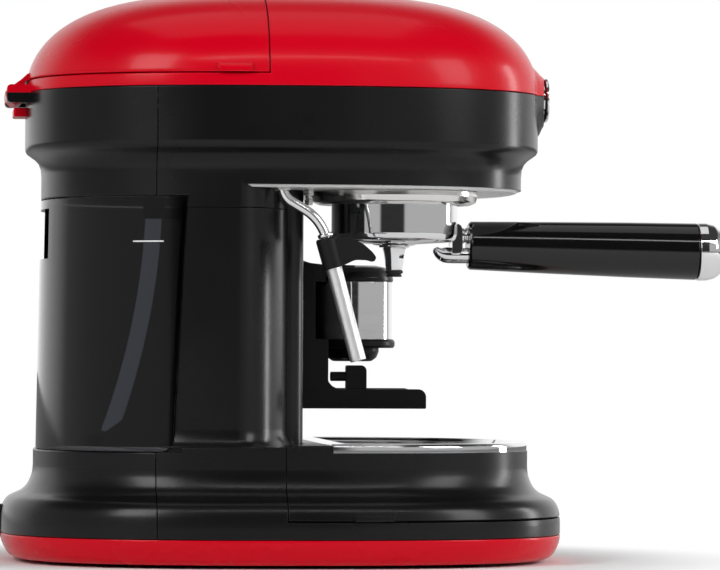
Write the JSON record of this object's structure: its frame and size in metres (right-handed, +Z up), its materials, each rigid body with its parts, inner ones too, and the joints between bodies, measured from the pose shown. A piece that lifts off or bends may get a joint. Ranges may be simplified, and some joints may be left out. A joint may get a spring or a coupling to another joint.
{
  "type": "espresso machine",
  "caption": "Rounded espresso machine with a red dome cover, built-in coffee grinder, steam wand, smoky water tank, drip tray and a black-handled portafilter.",
  "frame": {"origin": "on the worktop, under the middle of the base's outline", "axes": "+Z up; -Y to the front, where the portafilter handle points when it is locked; +X to the side of the grinder's outlet, which is the right-hand side of someone who stands in front of the machine"},
  "size_m": [0.2785, 0.4076, 0.32],
  "materials": {
    "red_gloss": "high gloss, moulded",
    "black_gloss": "satin gloss, moulded",
    "black_plastic": "fine matte",
    "grey_plastic": "silver, fine matte",
    "smoke_plastic": "smoky clear plastic",
    "clear_plastic": "clear plastic",
    "chrome": "polished",
    "steel": "brushed",
    "aluminium": "cast",
    "brass": "turned",
    "rubber": "matte",
    "handle_black": "polished",
    "silicone": "translucent, soft",
    "board": "lacquered"
  },
  "bodies": {
    "machine": {"base_pan": "red_gloss", "feet": "rubber", "base_front": "black_gloss", "base_rear": "black_gloss", "cord_gland": "black_plastic", "column_shell": "black_gloss", "splash_panel": "black_gloss", "head_front": "black_gloss", "head_rear": "black_gloss", "head_plate": "grey_plastic", "hinge_pin": "steel", "lid_stop": "red_gloss", "top_cover": "red_gloss", "deck": "black_plastic", "filler_cap": "black_plastic", "bean_hopper": "clear_plastic", "bezel": "chrome", "button_plate": "black_gloss", "control_board": "board", "group_collar": "steel", "group_gasket": "rubber", "shower_screen": "steel", "boiler": "aluminium", "outlet_hood": "black_plastic", "outlet_cylinder": "chrome", "outlet_frame": "black_plastic", "outlet_mouth": "black_plastic", "fork": "black_plastic", "wand_nut": "steel", "steam_fitting": "steel", "grinder_motor": "steel", "grinder_housing": "black_plastic", "upper_burr": "steel", "pump": "steel"},
    "lid": {"lid": "red_gloss"},
    "hopper_lid": {"hopper_lid": "clear_plastic"},
    "tray": {"drip_tray": "black_gloss"},
    "grid": {"drip_grid": "chrome"},
    "portafilter": {"portafilter_cup": "chrome", "filter_basket": "steel", "spout": "chrome", "spout_rings": "rubber", "portafilter_neck": "chrome", "portafilter_handle": "handle_black", "handle_cap": "chrome"},
    "wand": {"wand_pipe": "chrome", "wand_collar": "chrome", "wand_grip": "black_plastic", "wand_sleeve": "steel"},
    "tank": {"water_tank": "smoke_plastic", "pickup_tube": "silicone", "tube_clip": "black_plastic"},
    "lever": {"grind_lever": "black_plastic"},
    "burr": {"lower_burr": "steel", "burr_shaft": "steel"},
    "power": {"button_power": "chrome"},
    "one_cup": {"button_one_cup": "chrome"},
    "two_cups": {"button_two_cups": "chrome"},
    "steam": {"button_steam": "chrome"}
  },
  "joints": [
    {"name": "lid_hinge", "type": "hinge", "parent": "machine", "child": "lid", "pos_m": [0, 0.1515, 0.2628], "axis": [-1, 0, 0], "range_deg": [0, 80]},
    {"name": "hopper_lid_lift", "type": "slide", "parent": "machine", "child": "hopper_lid", "axis": [0, 0, 1], "range_m": [0, 0.008]},
    {"name": "tray_slide", "type": "slide", "parent": "machine", "child": "tray", "axis": [0, -1, 0], "range_m": [0, 0.18]},
    {"name": "grid_lift", "type": "slide", "parent": "tray", "child": "grid", "axis": [0, 0, 1], "range_m": [0, 0.015]},
    {"name": "portafilter_twist", "type": "hinge", "parent": "machine", "child": "portafilter", "pos_m": [-0.05, -0.0605, 0.204], "axis": [0, 0, 1], "range_deg": [-50, 0]},
    {"name": "wand_swivel", "type": "hinge", "parent": "machine", "child": "wand", "pos_m": [-0.106, 0.0067, 0.208], "axis": [0, 0, -1], "range_deg": [-8, 75]},
    {"name": "tank_slide", "type": "slide", "parent": "machine", "child": "tank", "axis": [0, 1, 0], "range_m": [0, 0.12]},
    {"name": "lever_slide", "type": "slide", "parent": "machine", "child": "lever", "axis": [0, 1, 0], "range_m": [0, 0.004], "stiffness_N_per_m": 300, "springref_m": -0.002},
    {"name": "burr_spin", "type": "hinge", "parent": "machine", "child": "burr", "pos_m": [0.04, 0.028, 0.18], "axis": [0, 0, 1], "continuous": true},
    {"name": "press_power", "type": "slide", "parent": "machine", "child": "power", "axis": [0, 1, 0], "range_m": [0, 0.0016], "stiffness_N_per_m": 800, "springref_m": -0.0008},
    {"name": "press_one_cup", "type": "slide", "parent": "machine", "child": "one_cup", "axis": [0, 1, 0], "range_m": [0, 0.0016], "stiffness_N_per_m": 800, "springref_m": -0.0008},
    {"name": "press_two_cups", "type": "slide", "parent": "machine", "child": "two_cups", "axis": [0, 1, 0], "range_m": [0, 0.0016], "stiffness_N_per_m": 800, "springref_m": -0.0008},
    {"name": "press_steam", "type": "slide", "parent": "machine", "child": "steam", "axis": [0, 1, 0], "range_m": [0, 0.0016], "stiffness_N_per_m": 800, "springref_m": -0.0008}
  ]
}
